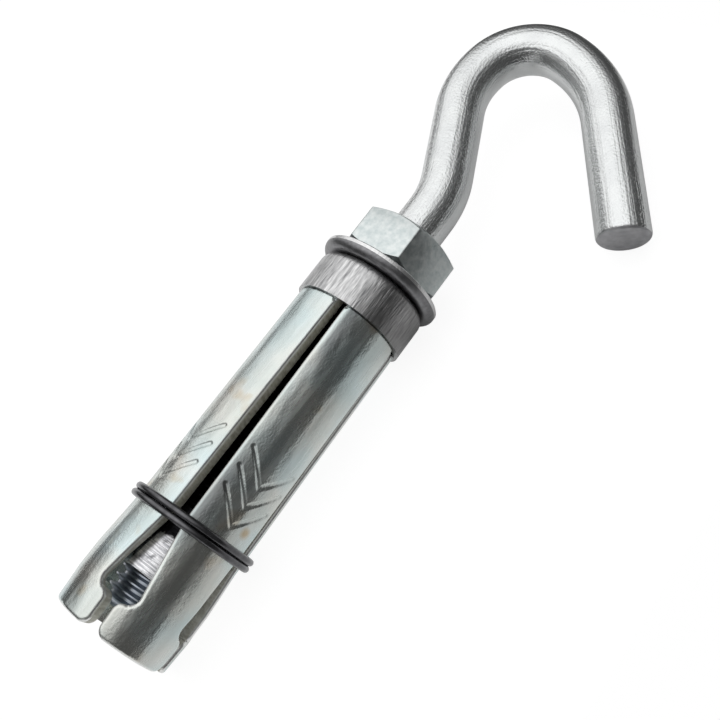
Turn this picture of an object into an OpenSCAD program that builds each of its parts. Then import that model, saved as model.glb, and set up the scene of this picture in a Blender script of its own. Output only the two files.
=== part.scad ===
// Ceiling anchor bolt: an open hook on a threaded shank, with a nut, a washer,
// a drawn ferrule, four shield leaves, a wire ring and an expander cone.
// X runs along the anchor towards the hook, and its zero is the ceiling plane,
// where the washer sits on the ferrule. The anchor lies on its side.

/* [Hook bolt] */
// Outside diameter of the rolled thread
thread_d = 7.9; // [7.5:0.05:8.5]
// Pitch of the thread
thread_pitch = 1.25; // [0.8:0.05:1.5]
// Depth of the bolt's lower end below the ceiling plane
bolt_depth = 50; // [46:0.5:56]
// Thread left above the nut
thread_spare = 0.2; // [0:0.1:4]
// Diameter of the hook's bar
bar_d = 7; // [6:0.1:7.4]
// Straight bar between the thread and the first bend
bar_straight = 3.8; // [1:0.1:10]
// Angle of the bend that sets the bowl over the anchor's axis
set_turn = 25.6; // [15:0.2:35]
// Middle radius of that bend
set_bend_r = 14; // [8:0.5:20]
// Straight leg below the bowl
hook_leg = 11.1; // [6:0.1:20]
// Turn of the hook's shoulder
shoulder_turn = 38.7; // [20:0.1:50]
// Middle radius of the shoulder
shoulder_r = 12.8; // [9:0.1:18]
// Turn of the hook's crown
crown_turn = 89.8; // [70:0.1:100]
// Middle radius of the crown
crown_r = 7.7; // [6:0.1:12]
// Turn of the hook's heel
heel_turn = 40.5; // [20:0.1:50]
// Middle radius of the heel
heel_r = 17.9; // [10:0.1:25]
// Straight leg that ends in the tip
tip_leg = 19.1; // [10:0.1:24]
// Worn edge round the sheared tip
tip_edge = 0.4; // [0.1:0.1:1]

/* [Nut] */
// Width of the nut across its flats
nut_af = 13; // [12:0.1:15]
// Height of the nut
nut_h = 6.5; // [5:0.1:8]
// Turn of the nut about the axis
nut_turn = 41; // [0:1:59]

/* [Washer] */
// Outside diameter of the washer
washer_d = 17; // [16:0.1:20]
// Thickness of the washer
washer_t = 1.6; // [1:0.1:2.5]
// Hole in the washer
washer_hole = 8.6; // [8.6:0.1:9.5]
// Rolled upper edge left by the press
washer_edge = 0.6; // [0.2:0.1:0.9]

/* [Ferrule] */
// Outside diameter of the ferrule
ferrule_d = 15.4; // [15:0.1:17]
// Length of the ferrule
ferrule_len = 6; // [4:0.1:10]
// Thickness of the ferrule's sheet
ferrule_t = 0.7; // [0.5:0.05:1]
// Drawn radius at the ferrule's top
ferrule_r = 1.3; // [0.8:0.1:2]

/* [Shield leaves] */
// Outside diameter of the closed shield
shield_d = 14.5; // [13.8:0.1:16]
// Reach of the leaves past the bolt's lower end
leaf_past = 3; // [2:0.1:6]
// Swell of the leaves around the cone
shield_swell = 0.3; // [0:0.05:0.5]
// Outward lean of each leaf at rest, in degrees
leaf_lean = 0.5; // [0:0.1:1]
// Turn of the first leaf about the axis
leaf_turn = 248; // [0:1:359]
// Width of the slot between two leaves at the ferrule
slot_top_w = 1.26; // [0.8:0.02:2]
// Width of the slot at the ring
slot_low_w = 1.72; // [0.8:0.02:2.4]
// Width of the window at its lower end
window_w = 4.8; // [3:0.1:6]
// Length of the lobes below the window
toe_len = 4.5; // [3:0.1:6]
// Gap between the lobes of two leaves
lobe_gap = 0.8; // [0.5:0.05:1.5]
// Round on the corners of the lobes
lobe_r = 1.3; // [0.6:0.1:1.6]

/* [Chevrons] */
// Chevrons on each leaf
chevrons = 3; // [1:1:3]
// Height of the lowest chevron's point above the ring's middle
chevron_above = 2.5; // [1.5:0.1:5]
// Spacing of the chevrons
chevron_pitch = 2.65; // [2:0.05:4]
// Angle from a chevron's point to the end of its arm, about the axis
chevron_span = 28; // [15:1:32]
// Length along the axis of each arm
chevron_rise = 3.45; // [2:0.05:5]
// Width of the pressed groove
chevron_w = 0.9; // [0.5:0.05:1.2]

/* [Wire ring] */
// Diameter of the ring's wire
wire_d = 0.85; // [0.6:0.05:1.2]
// Turns of the ring
wire_turns = 2; // [1:0.5:3]
// Height of the ring's middle above the cone's wide end
ring_above = 7.5; // [6:0.1:8.5]

/* [Expander cone] */
// Diameter of the cone's narrow end
cone_top_d = 9; // [8.8:0.1:9.4]
// Diameter of the cone's wide end
cone_low_d = 11.8; // [11:0.1:12.4]
// Length of the tapered part
cone_taper = 8.2; // [6:0.1:10]
// Length of the plain band at the wide end
cone_band = 0.8; // [0.4:0.1:1.5]
// Length of the bolt below the cone's wide end
cone_stand = 5; // [4:0.1:7]

/* [Clearances] */
// Running clearance round the thread, on the radius
thread_fit = 0.1; // [0.05:0.01:0.2]
// Clearance between a leaf and the cone before the leaf leans
seat_fit = 0.05; // [0.02:0.01:0.1]
// Clearance between the leaf necks and the ferrule
neck_fit = 0.15; // [0.1:0.01:0.3]
// Clearance between the ring and the leaves
ring_fit = 0.06; // [0.03:0.01:0.2]
// Room round the cone's wide end
cone_room = 0.2; // [0.1:0.05:0.3]

/* [Hidden] */
$fn = 64;
leaf_count = 4;
cut = 1;                                   // overshoot of every cutter

// Depths below the ceiling plane, which all follow the bolt's
shield_len = bolt_depth + leaf_past;
window_depth = shield_len - toe_len;
cone_depth = bolt_depth - cone_stand;
ring_depth = cone_depth - ring_above;
chevron_depth = ring_depth - chevron_above;

thread_r = thread_d / 2;
bar_r = bar_d / 2;
thread_depth = 0.61 * thread_pitch;        // height of the rolled thread
thread_top = washer_t + nut_h + thread_spare;
thread_runout = thread_r - bar_r;

// The hook's centreline as [radius, turn] for a bend and [length, 0] for a straight,
// with turns to the left positive, from the thread's run-out to the tip leg
hook_path = [[bar_straight, 0], [set_bend_r, set_turn], [hook_leg, 0],
             [shoulder_r, -shoulder_turn], [crown_r, -crown_turn], [heel_r, -heel_turn]];
hook_start = thread_top + thread_runout;
bar_sink = 1;                              // length of the bent bar inside each straight end
bar_skin = 0.02;                           // how far the bent bar lies inside the straight ends
bar_sides = 32;
bend_step = 5;                             // turn between two rings of a bend
leg_start = path_place(len(hook_path));
hook_tip = path_step(leg_start, [tip_leg, 0]);
// Roll about the axis that brings the tip down to the level of the washer's rim
hook_roll = asin((washer_d / 2 - bar_r) / -hook_tip.y);

nut_corner_r = nut_af / 2 / cos(30);
nut_chamfer = (nut_corner_r - nut_af / 2) * tan(30);

ferrule_in_r = ferrule_d / 2 - ferrule_t;
leaf_out_r = shield_d / 2;
neck_r = ferrule_in_r - neck_fit;
neck_z = -ferrule_len - neck_fit;          // shoulder of the leaf under the ferrule's lip
leaf_top = -ferrule_t - neck_fit;
leaf_bore_r = cone_top_d / 2 + seat_fit;
cone_top = -cone_depth + cone_band + cone_taper;
seat_low = -cone_depth + cone_band;
room_r = cone_low_d / 2 + cone_room;
toe_bore_r = thread_r + thread_depth + cone_room;
toe_z = -window_depth;                     // upper edge of the inward toe
leaf_edge = 0.5;                           // bevel on the leaf's outer end edge
chevron_dome = 0.9;                        // dome at a groove's end, as a share of its radius
wire_begin = 205;                          // turn from the first leaf's middle to the wire's first end
ring_lean = (ring_depth - ferrule_len) * sin(leaf_lean);
ring_in_r = leaf_out_r + ring_lean + ring_fit;

// Place and heading [x, y, heading] after one stretch of the hook's centreline
function path_step(p, stretch) = stretch[1] == 0
    ? [p[0] + stretch[0] * cos(p[2]), p[1] + stretch[0] * sin(p[2]), p[2]]
    : let (reach = sign(stretch[1]) * stretch[0], heading = p[2] + stretch[1])
      [p[0] + reach * (sin(heading) - sin(p[2])), p[1] - reach * (cos(heading) - cos(p[2])), heading];
function path_place(count) = count == 0
    ? [hook_start, 0, 0]
    : path_step(path_place(count - 1), hook_path[count - 1]);
// Places along one stretch, close enough together for a smooth bend
function stretch_places(p, stretch) =
    let (steps = stretch[1] == 0 ? 1 : ceil(abs(stretch[1]) / bend_step))
    [for (k = [1 : steps]) path_step(p, stretch[1] == 0 ? stretch : [stretch[0], stretch[1] * k / steps])];
// Ring of the bar's section round one place
function bar_ring(p) = [for (j = [0 : bar_sides - 1])
    let (b = 360 * j / bar_sides, across = (bar_r - bar_skin) * cos(b))
    [p[0] + across * sin(p[2]), p[1] - across * cos(p[2]), (bar_r - bar_skin) * sin(b)]];

// Lays a piece that was built upright along the anchor's axis
module lay() { rotate([0, 90, 0]) children(); }

// Closed tube through a list of rings, each a list of points
module tube(rings) {
    sides = len(rings[0]);
    last = (len(rings) - 1) * sides;
    walls = [for (i = [0 : len(rings) - 2], j = [0 : sides - 1])
        let (k = (j + 1) % sides, p = i * sides, q = p + sides)
        [p + j, p + k, q + k, q + j]];
    first_end = [for (j = [sides - 1 : -1 : 0]) j];
    last_end = [for (j = [0 : sides - 1]) last + j];
    polyhedron([for (ring = rings) each ring], concat(walls, [first_end, last_end]));
}

module hook_bolt() {
    places = [path_place(0),
              for (i = [0 : len(hook_path) - 1]) each stretch_places(path_place(i), hook_path[i]),
              path_step(leg_start, [bar_sink, 0])];
    color("gainsboro") rotate([hook_roll, 0, 0]) {
        lay() rotate_extrude() polygon([
            [0, -bolt_depth], [thread_r - thread_depth, -bolt_depth],
            [thread_r, -bolt_depth + thread_depth], [thread_r, thread_top],
            [bar_r, hook_start], [bar_r, hook_start + bar_sink], [0, hook_start + bar_sink]]);
        tube([for (p = places) bar_ring(p)]);
        translate([leg_start.x, leg_start.y, 0]) rotate([0, 0, leg_start[2]]) lay()
            rotate_extrude() polygon([
                [0, 0], [bar_r, 0], [bar_r, tip_leg - tip_edge], [bar_r - tip_edge, tip_leg], [0, tip_leg]]);
    }
}

module hex_nut() {
    bore_r = thread_r + thread_fit;
    color("lightsteelblue") lay() translate([0, 0, washer_t]) rotate([0, 0, nut_turn]) difference() {
        intersection() {
            cylinder(h = nut_h, r = nut_corner_r, $fn = 6);
            rotate_extrude() polygon([
                [0, 0], [nut_af / 2, 0], [nut_corner_r, nut_chamfer],
                [nut_corner_r, nut_h - nut_chamfer], [nut_af / 2, nut_h], [0, nut_h]]);
        }
        translate([0, 0, -cut]) cylinder(h = nut_h + 2 * cut, r = bore_r);
        for (flip = [0, 1]) translate([0, 0, flip * nut_h]) mirror([0, 0, flip])
            cylinder(h = thread_depth, r1 = bore_r + thread_depth, r2 = bore_r);
    }
}

module washer() {
    rim = washer_d / 2;
    color("darkgray") lay() rotate_extrude() difference() {
        union() {
            square([rim, washer_t - washer_edge]);
            square([rim - washer_edge, washer_t]);
            translate([rim - washer_edge, washer_t - washer_edge]) circle(r = washer_edge);
        }
        translate([0, -cut]) square([washer_hole / 2, washer_t + 2 * cut]);
    }
}

module ferrule() {
    out_r = ferrule_d / 2;
    color("dimgray") lay() rotate_extrude() difference() {
        union() {
            translate([0, -ferrule_len]) square([out_r, ferrule_len - ferrule_r]);
            translate([0, -ferrule_len]) square([out_r - ferrule_r, ferrule_len]);
            translate([out_r - ferrule_r, -ferrule_r]) circle(r = ferrule_r);
        }
        translate([0, -ferrule_len - cut]) square([ferrule_in_r, ferrule_len - ferrule_t + cut]);
        translate([0, -ferrule_len]) square([washer_hole / 2, ferrule_len + cut]);
    }
}

// Half section of the closed shield, with the cone's seat and the inward toe
module shield_section() {
    swell_r = leaf_out_r + shield_swell;
    polygon([
        [leaf_bore_r, leaf_top], [neck_r, leaf_top], [neck_r, neck_z],
        [leaf_out_r - leaf_edge / 2, neck_z], [leaf_out_r, neck_z - leaf_edge],
        [leaf_out_r, -ring_depth - wire_turns * wire_d], [swell_r, -cone_depth],
        [swell_r, -window_depth], [leaf_out_r, -shield_len + leaf_edge],
        [leaf_out_r - leaf_edge, -shield_len], [toe_bore_r, -shield_len], [toe_bore_r, toe_z - cone_room],
        [room_r, toe_z + cone_room], [room_r, seat_low], [cone_low_d / 2 + seat_fit, seat_low],
        [leaf_bore_r, cone_top]]);
}

// Fillet that rounds one corner of a lobe, with its corner at the origin
module lobe_fillet() {
    difference() {
        translate([-cut / 2, -cut / 2]) square([lobe_r + cut / 2, lobe_r + cut / 2]);
        translate([lobe_r, lobe_r]) circle(r = lobe_r);
    }
}

// Gap between two neighbouring leaves, drawn across the slot and along the axis
module gap_outline() {
    window_r = window_w / 4;
    polygon([
        [-slot_top_w / 2, cut], [slot_top_w / 2, cut], [slot_top_w / 2, neck_z],
        [slot_low_w / 2, -ring_depth], [window_w / 2, -window_depth + window_r],
        [-window_w / 2, -window_depth + window_r], [-slot_low_w / 2, -ring_depth],
        [-slot_top_w / 2, neck_z]]);
    for (side = [-1, 1]) translate([side * (window_w / 2 - window_r), -window_depth + window_r])
        circle(r = window_r);
    translate([-window_w / 2 + window_r, -window_depth])
        square([window_w - 2 * window_r, 2 * window_r]);
    translate([-lobe_gap / 2, -shield_len - cut])
        square([lobe_gap, shield_len - window_depth + cut + window_r]);
    for (side = [0, 1]) mirror([side, 0]) {
        translate([lobe_gap / 2, -window_depth]) mirror([0, 1]) lobe_fillet();
        translate([lobe_gap / 2, -shield_len]) lobe_fillet();
    }
}

// Groove of one arm of a chevron, from past its point to its domed outer end
module chevron_arm(point_z, side) {
    groove_r = chevron_w / 2;
    axis_r = leaf_out_r + groove_r / 3;
    foot = [axis_r, 0, point_z];
    tip = [axis_r * cos(chevron_span), side * axis_r * sin(chevron_span), point_z + chevron_rise];
    arm = tip - foot;
    translate(foot) rotate([0, acos(arm.z / norm(arm)), atan2(arm.y, arm.x)])
        translate([0, 0, -groove_r]) {
            cylinder(h = norm(arm) + groove_r, r = groove_r);
            translate([0, 0, norm(arm) + groove_r]) sphere(r = groove_r * chevron_dome);
        }
}

module shield_leaf(index) {
    half = 180 / leaf_count;
    reach = shield_d;
    color("silver") lay() rotate([0, 0, leaf_turn + index * 360 / leaf_count])
        translate([neck_r, 0, -ferrule_len]) rotate([0, -leaf_lean, 0]) translate([-neck_r, 0, ferrule_len])
            difference() {
                rotate([0, 0, -half]) rotate_extrude(angle = 2 * half) shield_section();
                for (side = [-1, 1]) rotate([90, 0, 90 + side * half])
                    linear_extrude(height = reach) gap_outline();
                for (i = [0 : chevrons - 1], side = [-1, 1])
                    chevron_arm(-chevron_depth + i * chevron_pitch, side);
            }
}
module shield_leaf_1() { shield_leaf(0); }
module shield_leaf_2() { shield_leaf(1); }
module shield_leaf_3() { shield_leaf(2); }
module shield_leaf_4() { shield_leaf(3); }

// Wire wound side by side
module wire_ring() {
    wire_r = wire_d / 2;
    wire_sides = 12;
    turn_steps = 48;
    pitch = wire_d + ring_fit;
    rings = [for (i = [0 : turn_steps * wire_turns])
        let (a = 360 * i / turn_steps, z = -ring_depth + pitch * (i / turn_steps - wire_turns / 2))
        [for (j = [0 : wire_sides - 1])
            let (b = 360 * j / wire_sides, r = ring_in_r + wire_r * (1 + cos(b)))
            [r * cos(a), r * sin(a), z + wire_r * sin(b)]]];
    color("darkslategray") lay() rotate([0, 0, leaf_turn + wire_begin]) tube(rings);
}

module expander_cone() {
    color("whitesmoke") lay() rotate_extrude() polygon([
        [thread_r + seat_fit, -cone_depth], [cone_low_d / 2 - seat_fit, -cone_depth],
        [cone_low_d / 2, -cone_depth + seat_fit], [cone_low_d / 2, seat_low],
        [cone_top_d / 2, cone_top], [thread_r + seat_fit, cone_top]]);
}

hook_bolt();
hex_nut();
washer();
ferrule();
shield_leaf_1();
shield_leaf_2();
shield_leaf_3();
shield_leaf_4();
wire_ring();
expander_cone();
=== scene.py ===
from math import ceil, cos, pi, radians, sin

import bpy
import numpy as np
from mathutils import Matrix, Vector


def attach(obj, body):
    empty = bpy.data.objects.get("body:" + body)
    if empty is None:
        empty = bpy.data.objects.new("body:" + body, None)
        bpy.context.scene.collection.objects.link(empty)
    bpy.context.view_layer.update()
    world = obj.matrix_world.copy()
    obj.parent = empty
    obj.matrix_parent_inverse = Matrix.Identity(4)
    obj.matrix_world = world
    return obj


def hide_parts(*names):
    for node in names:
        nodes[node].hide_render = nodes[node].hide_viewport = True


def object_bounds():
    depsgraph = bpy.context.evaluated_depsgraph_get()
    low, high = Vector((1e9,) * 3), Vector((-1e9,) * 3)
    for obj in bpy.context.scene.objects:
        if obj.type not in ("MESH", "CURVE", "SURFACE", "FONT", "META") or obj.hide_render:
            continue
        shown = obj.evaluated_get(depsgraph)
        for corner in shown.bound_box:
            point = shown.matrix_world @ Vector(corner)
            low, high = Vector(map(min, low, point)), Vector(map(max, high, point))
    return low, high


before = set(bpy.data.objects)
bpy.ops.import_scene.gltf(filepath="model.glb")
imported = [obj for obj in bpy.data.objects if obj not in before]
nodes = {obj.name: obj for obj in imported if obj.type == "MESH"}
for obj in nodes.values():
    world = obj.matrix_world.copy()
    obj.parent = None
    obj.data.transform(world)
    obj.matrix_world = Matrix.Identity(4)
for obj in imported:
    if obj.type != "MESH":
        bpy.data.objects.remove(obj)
cad_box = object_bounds()

# HOOK BAR
# One length of 7 mm mild steel bar, bent cold to an open bowl that ends in a straight tip, and sheared
# to length. It is one piece with the threaded shank and was zinc plated after bending.
MM = 0.001
bar_r = 3.47 * MM
bar_start = 8.6 * MM
tip_edge = 0.75 * MM
hook_roll = radians(12.2691)
# each stretch is a length in mm and no turn, or a bend's middle radius in mm and its turn to the left
hook_stretches = [(3.95, 0), (14, 25.6), (11.1, 0), (12.8, -38.7), (7.7, -89.8), (17.9, -40.5),
                  (18.95, 0)]
degrees_per_step = 2.5
line_samples = 24


def start_piece(name):
    """Names the primitive just added, sets it in place and opens it for editing, all selected."""
    piece = bpy.context.active_object
    piece.name = name
    piece.data.name = name
    bpy.ops.object.transform_apply(location=True, rotation=True, scale=True)
    bpy.ops.object.mode_set(mode="EDIT")
    bpy.ops.mesh.select_all(action="SELECT")
    return piece


def close_piece(crease):
    """Merges doubles, turns faces outwards, leaves edit mode and shades all but the creases smooth."""
    bpy.ops.mesh.select_all(action="SELECT")
    bpy.ops.mesh.remove_doubles(threshold=0.0005 * MM)
    bpy.ops.mesh.normals_make_consistent(inside=False)
    bpy.ops.object.mode_set(mode="OBJECT")
    bpy.ops.object.shade_smooth_by_angle(angle=radians(crease))


bpy.ops.object.select_all(action="DESELECT")
bpy.ops.mesh.primitive_circle_add(vertices=64, radius=bar_r, fill_type="NGON",
                                  location=(bar_start, 0, 0), rotation=(0, pi / 2, 0))
hook_bar = start_piece("hook_bar")
place = Vector((bar_start, 0, 0))
heading = 0.0
passed = 0.0
middle_line = []
for reach, turn in hook_stretches:
    ahead = Vector((cos(heading), sin(heading), 0))
    left = Vector((-ahead.y, ahead.x, 0))
    centre = place + left * reach * MM * (1 if turn > 0 else -1)
    length = reach * MM if turn == 0 else reach * MM * abs(radians(turn))
    for step in range(line_samples):
        part = step / line_samples
        swing = Matrix.Rotation(radians(turn) * part, 3, "Z")
        spot = place + ahead * length * part if turn == 0 else centre + swing @ (place - centre)
        middle_line.append((spot, swing @ left, passed + length * part))
    if turn == 0:
        bpy.ops.mesh.extrude_region_move(TRANSFORM_OT_translate={"value": ahead * length})
        place = place + ahead * length
    else:
        bpy.ops.mesh.spin(steps=ceil(abs(turn) / degrees_per_step), angle=-radians(turn), center=centre,
                          axis=(0, 0, 1))
        place = centre + Matrix.Rotation(radians(turn), 3, "Z") @ (place - centre)
        heading += radians(turn)
    passed += length

# the shears left the tip's face a little out of square, longer on its upper and outer side
ahead = Vector((cos(heading), sin(heading), 0))
left = Vector((-ahead.y, ahead.x, 0))
shear_up = 0.125
shear_out = 0.04
tip_near = 1.1 * bar_r
tip_facing = 0.55
bpy.ops.object.mode_set(mode="OBJECT")
for point in hook_bar.data.vertices:
    offset = point.co - place
    if offset.length < tip_near:
        point.co += ahead * (shear_up * offset.z + shear_out * offset.dot(left))
bpy.ops.object.mode_set(mode="EDIT")
bpy.ops.mesh.bevel(offset=tip_edge, segments=6, affect="EDGES")
close_piece(crease=40)

# the place round and along the bar is kept on the mesh, for the lines that the drawing die left
bar_lines = hook_bar.data.attributes.new("bar_lines", "FLOAT_VECTOR", "POINT")
for point, mark in zip(hook_bar.data.vertices, bar_lines.data):
    spot, left, along = min(middle_line, key=lambda sample: (sample[0] - point.co).length_squared)
    mark.vector = ((point.co - spot).dot(left), point.co.z, along)
for face in hook_bar.data.polygons:
    facing = face.normal.dot(ahead) > tip_facing
    face.material_index = 1 if facing and (face.center - place).length < tip_near else 0
hook_bar.rotation_euler.x = hook_roll
bpy.ops.object.transform_apply(rotation=True)


def linear(code):
    """The linear colour of an sRGB hex value."""
    parts = [int(code[i:i + 2], 16) / 255 for i in (1, 3, 5)]
    return [p / 12.92 if p <= 0.04045 else ((p + 0.055) / 1.055) ** 2.4 for p in parts] + [1]


def add(material, kind, inputs, **settings):
    """Adds a node with its settings, and sets or links its inputs. A Mix of two colours has them at 6 and 7
    and its result at output 2."""
    tree = material.node_tree
    made = tree.nodes.new("ShaderNode" + kind)
    for name, value in settings.items():
        setattr(made, name, value)
    for name, value in inputs.items():
        if isinstance(value, bpy.types.NodeSocket):
            tree.links.new(value, made.inputs[name])
        else:
            made.inputs[name].default_value = value
    return made


def new_metal(name, roughness):
    """A metal material with its shader and its object coordinates."""
    metal = bpy.data.materials.new(name)
    metal.use_nodes = True
    skin = metal.node_tree.nodes["Principled BSDF"]
    skin.inputs["Metallic"].default_value = 1
    skin.inputs["Roughness"].default_value = roughness
    return metal, skin, add(metal, "TexCoord", {}).outputs["Object"]


def per_mm(size):
    """The texture scale at which a pattern's features are this many millimetres wide."""
    return 1 / (size * MM)


def give(piece, *metals):
    """Puts these materials on a new piece."""
    for metal in metals:
        piece.data.materials.append(metal)


# Bright zinc plate on drawn bar: mirror-like under a soft haze, with lines along the bar from the
# drawing die, greyer patches where the bath took less, and fine pits left by pickling. The lines and
# pits are drawn coarser than they are, so that they show
bright_zinc, skin, where = new_metal("bright_zinc_plate", 0.25)
patches = add(bright_zinc, "TexNoise", {"Vector": where, "Scale": per_mm(3.5),
                                        "Detail": 3}).outputs["Fac"]
tone = add(bright_zinc, "Mix", {0: patches, 6: linear("#D3D5D6"), 7: linear("#ECEEED")},
           data_type="RGBA").outputs[2]
lines_at = add(bright_zinc, "Attribute", {}, attribute_name="bar_lines").outputs["Vector"]
die_pull = add(bright_zinc, "Mapping", {"Vector": lines_at,
                                        "Scale": (per_mm(0.5), per_mm(0.5), per_mm(14))}).outputs["Vector"]
drawn = add(bright_zinc, "TexNoise", {"Vector": die_pull, "Scale": 1, "Detail": 3}).outputs["Fac"]
pits = add(bright_zinc, "TexNoise", {"Vector": where, "Scale": per_mm(0.3), "Detail": 4}).outputs["Fac"]
haze = add(bright_zinc, "MapRange", {"Value": pits, "From Min": 0.3, "From Max": 0.7, "To Min": 0.1,
                                     "To Max": 0.24}).outputs["Result"]
scored = add(bright_zinc, "Bump", {"Height": drawn, "Strength": 0.9,
                                   "Distance": 0.1 * MM}).outputs["Normal"]
dents = add(bright_zinc, "Bump", {"Height": pits, "Strength": 0.9, "Distance": 0.07 * MM,
                                  "Normal": scored}).outputs["Normal"]
bright_zinc.node_tree.links.new(tone, skin.inputs["Base Color"])
bright_zinc.node_tree.links.new(dents, skin.inputs["Normal"])
bright_zinc.node_tree.links.new(haze, skin.inputs["Roughness"])

# The tip was sheared after plating, so its face is bare steel: dull, grey and torn across
sheared_tip, skin, where = new_metal("sheared_bar_end", 0.5)
torn = add(sheared_tip, "TexNoise", {"Vector": where, "Scale": per_mm(0.9), "Detail": 5}).outputs["Fac"]
tip_tone = add(sheared_tip, "Mix", {0: torn, 6: linear("#9C9C9F"), 7: linear("#D4D4D6")},
               data_type="RGBA").outputs[2]
tip_relief = add(sheared_tip, "Bump", {"Height": torn, "Strength": 0.6,
                                       "Distance": 0.15 * MM}).outputs["Normal"]
sheared_tip.node_tree.links.new(tip_tone, skin.inputs["Base Color"])
sheared_tip.node_tree.links.new(tip_relief, skin.inputs["Normal"])
give(hook_bar, bright_zinc, sheared_tip)
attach(hook_bar, "bolt")
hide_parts("hook_bolt")

# ROLLED THREAD
# The shank's M8 thread, rolled into the same bar, so its crests stand proud of the bar and it fades
# out below the first bend. The end is chamfered so that the nut starts easily.
thread_r = 3.95 * MM
thread_pitch = 1.25 * MM
thread_depth = 0.61 * thread_pitch
thread_low = -50 * MM
thread_end = 8.75 * MM
thread_steps = 40
fade = 0.9 * MM
proud = 0.01 * MM
bpy.ops.object.select_all(action="DESELECT")
bpy.ops.mesh.primitive_circle_add(vertices=3, radius=MM)
rolled_thread = start_piece("rolled_thread")
bpy.ops.mesh.merge(type="CENTER")
bpy.ops.transform.translate(value=(thread_low - thread_pitch, 0, thread_r - thread_depth))
flank = 0.31 * thread_pitch
root = 0.24 * thread_pitch
crest = thread_pitch - root - 2 * flank
for along, out in ((root, 0), (flank, thread_depth), (crest, 0), (flank, -thread_depth)):
    bpy.ops.mesh.extrude_vertices_move(TRANSFORM_OT_translate={"value": (along, 0, out)})
bpy.ops.object.mode_set(mode="OBJECT")
turns = ceil((thread_end - thread_low) / thread_pitch) + 3
bpy.ops.object.modifier_add(type="SCREW")
winding = rolled_thread.modifiers[-1]
winding.axis = "X"
winding.screw_offset = thread_pitch
winding.iterations = turns
winding.steps = thread_steps
winding.render_steps = thread_steps
winding.use_merge_vertices = True
winding.merge_threshold = 0.001 * MM
bpy.ops.object.modifier_apply(modifier=winding.name)
bpy.ops.object.mode_set(mode="EDIT")
for cut, away in ((thread_low, -1), (thread_end, 1)):
    bpy.ops.mesh.select_all(action="SELECT")
    bpy.ops.mesh.bisect(plane_co=(cut, 0, 0), plane_no=(away, 0, 0), use_fill=True, clear_outer=True,
                        threshold=0.0001 * MM)
bpy.ops.object.mode_set(mode="OBJECT")
for point in rolled_thread.data.vertices:
    out = Vector((point.co.y, point.co.z))
    chamfered = min(out.length, thread_r - thread_depth + (point.co.x - thread_low))
    share = min(max((point.co.x - thread_end + fade) / fade, 0), 1)
    wanted = chamfered + (bar_r + proud - chamfered) * share
    if out.length > 0:
        point.co.yz = out * wanted / out.length
bpy.ops.object.mode_set(mode="EDIT")
close_piece(crease=25)

# Zinc on the rolled thread: thinner and duller than on the bar and blue-grey, its tone painted darker than
# the bar's as painted shade in the window, and painted near black inside the shield as painted shade
inner_shade_low = -43 * MM
inner_shade_high = -1 * MM
thread_zinc, skin, where = new_metal("rolled_thread_zinc", 0.33)
worn = add(thread_zinc, "TexNoise", {"Vector": where, "Scale": per_mm(0.9), "Detail": 4}).outputs["Fac"]
# the thread's tone is darker than the bar's, partly painted shade in the window
thread_tone = add(thread_zinc, "Mix", {0: worn, 6: linear("#7F8791"), 7: linear("#BDC3CB")},
                  data_type="RGBA").outputs[2]
shank_x = add(thread_zinc, "SeparateXYZ", {"Vector": where}).outputs["X"]
# painted shade: inside the shield the thread is painted near black
inside = add(thread_zinc, "Math", {0: shank_x, 1: (inner_shade_low + inner_shade_high) / 2, 2: (inner_shade_high - inner_shade_low) / 2},
             operation="COMPARE").outputs[0]
thread_painted_shade_tone = add(thread_zinc, "Mix", {0: inside, 6: thread_tone, 7: linear("#1E1E20")},
                 data_type="RGBA").outputs[2]
thread_zinc.node_tree.links.new(thread_painted_shade_tone, skin.inputs["Base Color"])
give(rolled_thread, thread_zinc)
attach(rolled_thread, "bolt")
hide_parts("hook_bolt")

# EXPANDER CONE
# A turned steel cone screwed on the end of the shank. The nut draws it up between the leaves. Its
# taper is left as turned, bright, with the tool's fine rings round it and smears of cutting oil. Its upper
# end, inside the leaves, is painted near black with a ragged edge, as painted shade.
cone_shade_edge = -39 * MM
cone_shade_soft = 1 * MM
cone_shade_ragged = 4 * MM
turned_steel, skin, where = new_metal("turned_steel", 0.26)
tool_feed = add(turned_steel, "Mapping", {"Vector": where,
                                          "Scale": (per_mm(0.16), per_mm(3), per_mm(3))}).outputs["Vector"]
marks = add(turned_steel, "TexNoise", {"Vector": tool_feed, "Scale": 1, "Detail": 3}).outputs["Fac"]
ringed = add(turned_steel, "MapRange", {"Value": marks, "From Min": 0.42,
                                        "From Max": 0.62}).outputs["Result"]
cone_tone = add(turned_steel, "Mix", {0: ringed, 6: linear("#F2F2F4"), 7: linear("#B6B7BB")},
                data_type="RGBA").outputs[2]
smears = add(turned_steel, "TexNoise", {"Vector": where, "Scale": per_mm(1.2),
                                        "Detail": 4}).outputs["Fac"]
smeared = add(turned_steel, "MapRange", {"Value": smears, "From Min": 0.56, "From Max": 0.7,
                                         "To Max": 0.75}).outputs["Result"]
smeared_tone = add(turned_steel, "Mix", {0: smeared, 6: cone_tone, 7: linear("#5E5F64")},
                   data_type="RGBA").outputs[2]
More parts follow.
